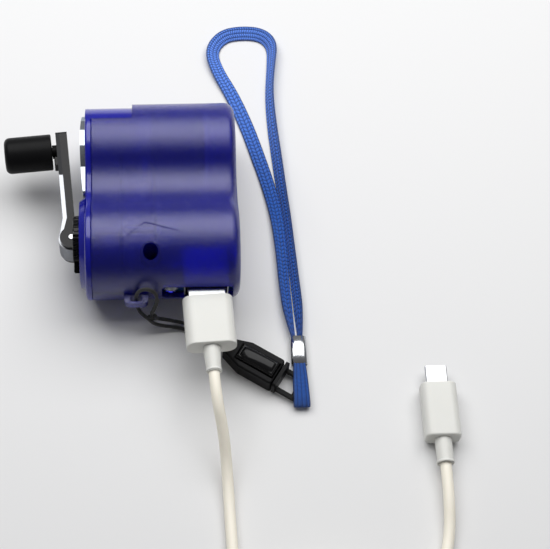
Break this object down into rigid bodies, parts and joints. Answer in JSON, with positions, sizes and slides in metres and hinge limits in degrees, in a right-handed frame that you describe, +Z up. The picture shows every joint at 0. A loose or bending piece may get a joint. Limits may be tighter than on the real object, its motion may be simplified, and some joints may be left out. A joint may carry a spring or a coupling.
{
  "type": "hand crank phone charger",
  "caption": "Translucent blue two-lobed hand crank phone charger with a folding crank, a USB cable and a blue wrist strap on a quick release buckle.",
  "frame": {"origin": "on the table under the centre of the port-end lobe, at the middle of the case's width", "axes": "+Z up from the table the case rests on, +Y from the port end towards the far lobe, X along the crank shaft with the crank on the -X side"},
  "size_m": [0.1429, 0.2497, 0.0322],
  "materials": {
    "case_blue": "translucent deep blue with a fine matte texture",
    "cover_blue": "translucent deep blue, satin",
    "trim_chrome": "polished",
    "black_plastic": "fine satin",
    "arm_silver": "brushed",
    "steel": "plain",
    "screw_steel": "blackened",
    "plug_metal": "nickel plated",
    "brass": "machined",
    "copper": "enamelled wire",
    "core_steel": "stacked sheet",
    "magnet": "sintered",
    "gear_white": "moulded",
    "board_green": "solder mask",
    "chip_black": "moulded",
    "capacitor_sleeve": "shrunk sleeve",
    "ferrite": "sintered",
    "led_clear": "clear",
    "lead_red": "insulated wire",
    "cable_white": "smooth, off-white",
    "insert_white": "moulded",
    "cord_black": "twisted cord",
    "strap_blue": "woven",
    "crimp_metal": "plated"
  },
  "bodies": {
    "case": {"front_shell": "case_blue", "back_shell": "case_blue", "case_screw": "screw_steel", "side_cover": "cover_blue", "trim_plate": "trim_chrome", "shaft_bushes": "brass", "compound_axles": "steel", "gear_plate_left": "steel", "gear_plate_right": "steel", "gear_spacers": "brass", "frame_screws": "steel", "generator_can": "steel", "generator_end_bell": "insert_white", "generator_magnets": "magnet", "generator_screws": "steel", "generator_leads": "lead_red", "circuit_board": "board_green", "board_screws": "steel", "usb_socket_shell": "plug_metal", "usb_socket_tongue": "insert_white", "led": "led_clear", "led_leads": "steel", "capacitor": "capacitor_sleeve", "inductor": "ferrite", "control_chip": "chip_black", "board_diodes": "chip_black", "string_upper": "cord_black", "string_lower": "cord_black", "string_bead": "black_plastic", "buckle_body": "black_plastic"},
    "crank": {"crank_hub": "black_plastic", "hinge_pin": "steel", "crank_shaft": "steel", "shaft_clip": "steel", "drive_gear": "gear_white"},
    "arm": {"arm_frame": "black_plastic", "arm_cover": "arm_silver", "knob_spindle": "black_plastic"},
    "handle_knob": {"knob": "black_plastic", "knob_cap": "black_plastic"},
    "first_gear": {"compound_gear_1": "gear_white"},
    "second_gear": {"compound_gear_2": "gear_white"},
    "rotor": {"generator_pinion": "brass", "rotor_core": "core_steel", "rotor_windings": "copper", "rotor_shaft": "steel"},
    "latch": {"buckle_latch": "black_plastic"},
    "strap": {"buckle_strap_half": "black_plastic", "strap_end_loop": "strap_blue", "strap_crimp": "crimp_metal", "wrist_strap": "strap_blue"},
    "usb_cable": {"plug_shell": "plug_metal", "plug_insert": "insert_white", "plug_grip": "cable_white", "plug_relief": "cable_white", "cable_near": "cable_white", "cable_coil": "cable_white", "cable_far": "cable_white", "micro_grip": "cable_white", "micro_tip": "plug_metal"}
  },
  "joints": [
    {"name": "crank_spin", "type": "hinge", "parent": "case", "child": "crank", "pos_m": [0, 0.002, 0.016], "axis": [1, 0, 0], "continuous": true},
    {"name": "arm_fold", "type": "hinge", "parent": "crank", "child": "arm", "pos_m": [-0.0299, 0.002, 0.016], "axis": [0, 0, 1], "range_deg": [0, 175]},
    {"name": "knob_spin", "type": "hinge", "parent": "arm", "child": "handle_knob", "pos_m": [-0.03299, 0.03737, 0.016], "axis": [-0.9962, -0.0872, 0], "continuous": true},
    {"name": "first_gear_spin", "type": "hinge", "parent": "case", "child": "first_gear", "pos_m": [0, 0.0145, 0.016], "axis": [1, 0, 0], "continuous": true},
    {"name": "second_gear_spin", "type": "hinge", "parent": "case", "child": "second_gear", "pos_m": [0, 0.0245, 0.016], "axis": [1, 0, 0], "continuous": true},
    {"name": "rotor_spin", "type": "hinge", "parent": "case", "child": "rotor", "pos_m": [0, 0.0355, 0.016], "axis": [1, 0, 0], "continuous": true},
    {"name": "latch_press", "type": "hinge", "parent": "case", "child": "latch", "pos_m": [0.02393, -0.03251, 0.0053], "axis": [0.5446, 0.8387, 0], "range_deg": [0, 5], "stiffness_Nm_per_rad": 0.05},
    {"name": "strap_release", "type": "slide", "parent": "case", "child": "strap", "axis": [0.8387, -0.5446, 0], "range_m": [0, 0.012]},
    {"name": "plug_pull", "type": "slide", "parent": "case", "child": "usb_cable", "axis": [0.0523, -0.9986, 0], "range_m": [-0.0021, 0.013]}
  ],
  "couplings": [
    {"joint": "first_gear_spin", "follows": "crank_spin", "ratio": -4},
    {"joint": "second_gear_spin", "follows": "crank_spin", "ratio": 12},
    {"joint": "rotor_spin", "follows": "crank_spin", "ratio": -40.8}
  ]
}
